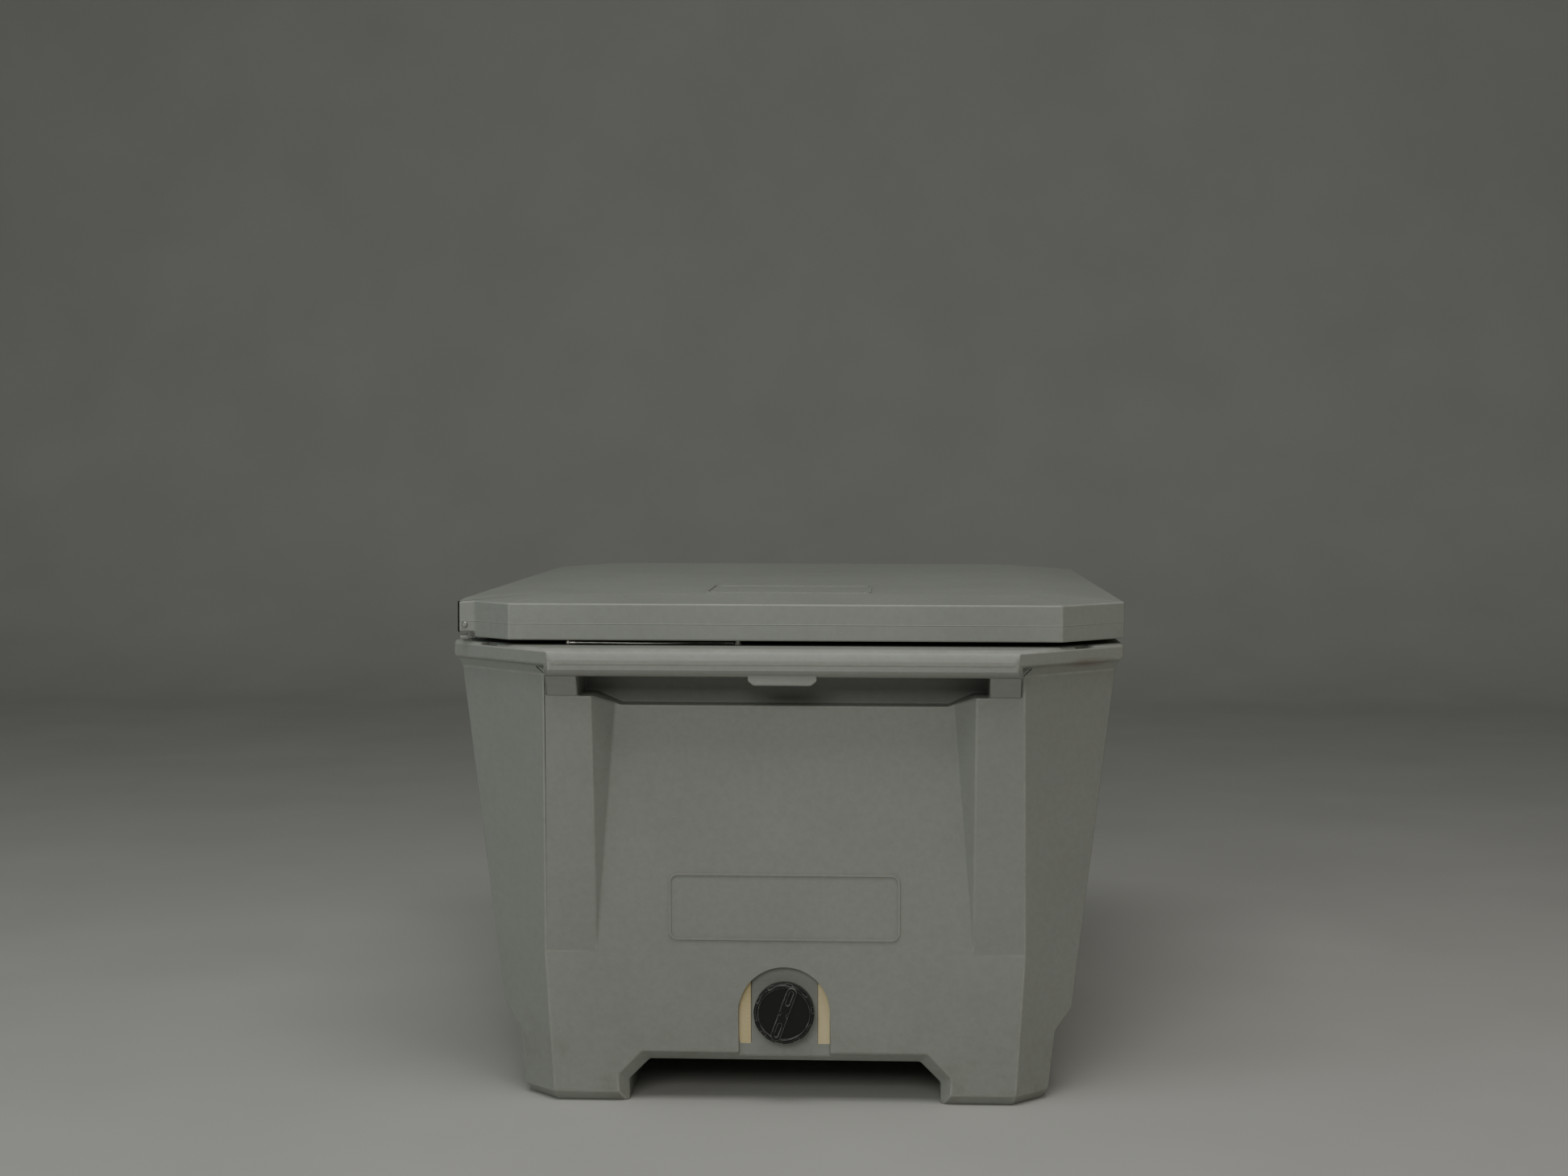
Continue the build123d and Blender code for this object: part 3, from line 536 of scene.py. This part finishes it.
def rope_tree():
    """Geometry Nodes: instances one strand's section along helices round the route."""
    tree = bpy.data.node_groups.new("laid_rope", "GeometryNodeTree")
    face = tree.interface
    face.new_socket("Geometry", in_out="INPUT", socket_type="NodeSocketGeometry")
    inputs = {}
    for label, kind in (
        ("Strand radius", "NodeSocketFloat"), ("Rope radius", "NodeSocketFloat"),
        ("Lay length", "NodeSocketFloat"), ("Strands", "NodeSocketInt"), ("Finish", "NodeSocketMaterial"),
    ):
        inputs[label] = face.new_socket(label, in_out="INPUT", socket_type=kind).identifier
    face.new_socket("Geometry", in_out="OUTPUT", socket_type="NodeSocketGeometry")
    start = add(tree, "NodeGroupInput")
    route = add(tree, "GeometryNodeMeshToCurve", links={"Mesh": start.outputs["Geometry"]})
    spaced = add(tree, "GeometryNodeResampleCurve", links={"Curve": route.outputs["Curve"]})
    spaced.inputs["Count"].default_value = 260
    # one copy of the route for each strand, numbered by its duplicate index
    copies = add(tree, "GeometryNodeDuplicateElements", links={
        "Geometry": spaced.outputs["Curve"], "Amount": start.outputs["Strands"]}, domain="SPLINE")
    held = add(tree, "GeometryNodeStoreNamedAttribute", links={
        "Geometry": copies.outputs["Geometry"], "Value": copies.outputs["Duplicate Index"],
    }, data_type="FLOAT", domain="CURVE")
    held.inputs["Name"].default_value = "strand"
    number = add(tree, "GeometryNodeInputNamedAttribute", data_type="FLOAT")
    number.inputs["Name"].default_value = "strand"
    share = maths(tree, "DIVIDE", number.outputs["Attribute"], start.outputs["Strands"])
    travelled = add(tree, "GeometryNodeSplineParameter").outputs["Length"]
    turns = maths(tree, "DIVIDE", travelled, start.outputs["Lay length"])
    angle = maths(tree, "MULTIPLY", maths(tree, "ADD", share, turns), 2 * pi)
    sideways = maths(tree, "MULTIPLY", maths(tree, "COSINE", angle), start.outputs["Rope radius"])
    upwards = maths(tree, "MULTIPLY", maths(tree, "SINE", angle), start.outputs["Rope radius"])
    offset = add(tree, "ShaderNodeCombineXYZ", links={"Y": sideways, "Z": upwards})
    laid = add(tree, "GeometryNodeSetPosition", links={
        "Geometry": held.outputs["Geometry"], "Offset": offset.outputs["Vector"]})
    section = add(tree, "GeometryNodeCurvePrimitiveCircle", links={
        "Radius": start.outputs["Strand radius"]})
    section.inputs["Resolution"].default_value = 8
    wires = add(tree, "GeometryNodeCurveToMesh", links={
        "Curve": laid.outputs["Geometry"], "Profile Curve": section.outputs["Curve"]})
    wires.inputs["Fill Caps"].default_value = True
    real = add(tree, "GeometryNodeRealizeInstances", links={"Geometry": wires.outputs["Mesh"]})
    finish = add(tree, "GeometryNodeSetMaterial", links={
        "Geometry": real.outputs["Geometry"], "Material": start.outputs["Finish"]})
    end = add(tree, "NodeGroupOutput")
    tree.links.new(finish.outputs["Geometry"], end.inputs["Geometry"])
    return tree, inputs


route = smooth_route(stay_points)
route_mesh = bpy.data.meshes.new("lid_stay_rope")
route_mesh.from_pydata(route, [(i, i + 1) for i in range(len(route) - 1)], [])
rope = bpy.data.objects.new("lid_stay_rope", route_mesh)
scene.collection.objects.link(rope)
tree, sockets = rope_tree()
laying = rope.modifiers.new("laid_rope", "NODES")
laying.node_group = tree
laying[sockets["Strand radius"]] = strand_radius
laying[sockets["Rope radius"]] = rope_radius
laying[sockets["Lay length"]] = lay_length
laying[sockets["Strands"]] = strand_count
laying[sockets["Finish"]] = brushed_stainless("drawn_stainless_wire", 0)
plain_mesh(rope)
rope.data.shade_smooth()
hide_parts("stay_cable")
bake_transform(rope)


# Floor and backdrop: one pale seamless sweep, and soft lamps overhead, in front and to each side.
sweep = bpy.data.meshes.new("studio_sweep")
sweep_half = 9.0
wall_y = 5.5
wall_height = 6.0
curve_radius = 1.5
profile = [(-sweep_half, 0.0)]
bend_steps = 16
for step in range(bend_steps + 1):
    turn = pi / 2 * step / bend_steps
    back = wall_y - curve_radius + curve_radius * sin(turn)
    profile.append((back, curve_radius - curve_radius * cos(turn)))
profile.append((wall_y, wall_height))
corners = [(x, y, z) for y, z in profile for x in (-sweep_half, sweep_half)]
faces = [(2 * i, 2 * i + 1, 2 * i + 3, 2 * i + 2) for i in range(len(profile) - 1)]
sweep.from_pydata(corners, [], faces)
sweep.shade_smooth()
floor = bpy.data.objects.new("studio_sweep", sweep)
scene.collection.objects.link(floor)
floor_material, tree, shader, place = new_material("pale_studio_floor")
scuffs = noise(tree, place, 3.0, 6.0)
floor_colour = ramp(tree, scuffs, ((0.3, linear("b9b8b4")), (0.7, linear("bfbeba"))))
tree.links.new(floor_colour, shader.inputs["Base Color"])
shader.inputs["Roughness"].default_value = 0.8
sweep.materials.append(floor_material)


def soft_lamp(name, place, target, size, power, colour):
    """Oblong area lamp aimed at a point."""
    data = bpy.data.lights.new(name, "AREA")
    data.shape = "RECTANGLE"
    data.size, data.size_y = size
    data.energy = power
    data.color = colour
    lamp = bpy.data.objects.new(name, data)
    lamp.location = place
    lamp.rotation_mode = "QUATERNION"
    lamp.rotation_quaternion = (Vector(target) - Vector(place)).to_track_quat("-Z", "Y")
    scene.collection.objects.link(lamp)


middle = (0.0, -0.2, 0.3)
white = (1.0, 0.99, 0.96)
soft_lamp("overhead", (0.0, -1.5, 3.0), middle, (2.4, 1.4), 34.0, white)
soft_lamp("front", (-0.5, -4.8, 2.3), middle, (2.8, 1.4), 53.0, white)
soft_lamp("hinge_side", (-3.4, -1.8, 1.5), middle, (1.8, 1.8), 10.0, (0.78, 0.96, 1.0))
soft_lamp("latch_side", (3.6, -1.2, 1.4), middle, (1.8, 1.8), 6.0, (1.0, 0.94, 0.74))

world = bpy.data.worlds.new("studio")
scene.world = world
world.use_nodes = True
background = world.node_tree.nodes["Background"]
background.inputs["Color"].default_value = linear("dfe2e0")
background.inputs["Strength"].default_value = 0.15
